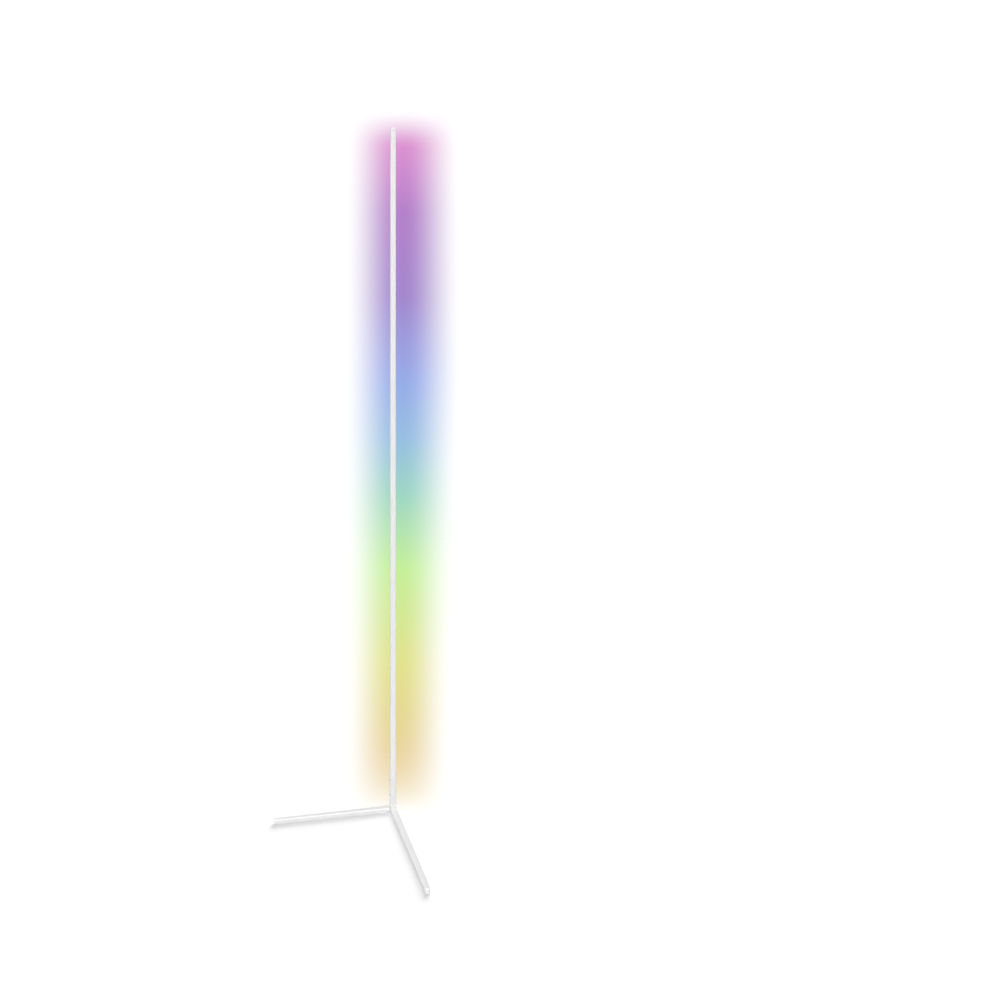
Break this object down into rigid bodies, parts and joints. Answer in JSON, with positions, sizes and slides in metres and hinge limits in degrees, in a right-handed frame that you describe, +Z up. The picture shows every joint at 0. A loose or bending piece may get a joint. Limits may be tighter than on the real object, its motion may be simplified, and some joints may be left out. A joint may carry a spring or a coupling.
{
  "type": "corner floor lamp",
  "caption": "Slim upright lamp that throws coloured light into a room corner, on legs that run along the walls; the side leg folds in beside the other",
  "frame": {"origin": "on the floor under the pole's axis, at the centre of the corner pad's underside", "axes": "+Z is up along the pole; the right leg runs along -Y, the left leg along -X, and the light faces the room's corner at +X +Y"},
  "size_m": [0.3385, 0.3385, 2],
  "materials": {
    "pole_coat": "white powder-coated aluminium extrusion, satin",
    "cap_plastic": "white moulded plastic, satin",
    "diffuser_opal": "frosted opal acrylic, lit from behind",
    "strip_board": "flexible circuit with white solder mask",
    "tape_film": "adhesive transfer tape",
    "led_body": "white housing with phosphor-tinted lens",
    "chip_epoxy": "black moulded epoxy",
    "lead_jacket": "insulated copper wire",
    "sleeve_plastic": "white moulded plastic, matt",
    "screw_steel": "zinc-plated steel",
    "grommet_rubber": "light soft rubber",
    "board_resin": "glass-fibre board with green solder mask",
    "pad_foam": "closed-cell foam with adhesive faces",
    "terminal_plastic": "green moulded terminal housing",
    "connector_plastic": "ivory moulded connector housing",
    "module_shield": "tin-plated shield can",
    "post_steel": "zinc-plated steel",
    "leg_coat": "steel bar with white powder coat",
    "plate_coat": "steel plate with white powder coat",
    "washer_nylon": "natural nylon",
    "pad_rubber": "grey non-slip rubber"
  },
  "bodies": {
    "base": {"pole_profile": "pole_coat", "top_cap": "cap_plastic", "diffuser": "diffuser_opal", "led_strip": "strip_board", "strip_tape": "tape_film", "led_packages": "led_body", "pixel_chips": "chip_epoxy", "strip_leads": "lead_jacket", "sleeve": "sleeve_plastic", "side_screws": "screw_steel", "cord_grommet": "grommet_rubber", "controller_board": "board_resin", "board_pad": "pad_foam", "power_terminal": "terminal_plastic", "output_connector": "connector_plastic", "radio_module": "module_shield", "base_post": "post_steel", "base_screw": "screw_steel", "right_leg": "leg_coat", "pivot_plate": "plate_coat", "corner_pad": "pad_rubber", "right_leg_pad": "pad_rubber"},
    "folding_leg": {"left_leg": "leg_coat", "left_leg_pad": "pad_rubber", "pivot_screw": "screw_steel", "pivot_washer": "washer_nylon"}
  },
  "joints": [
    {"name": "leg_fold", "type": "hinge", "parent": "base", "child": "folding_leg", "pos_m": [-0.0133, -0.004, 0.005], "axis": [0, 0, 1], "range_deg": [0, 90]}
  ]
}
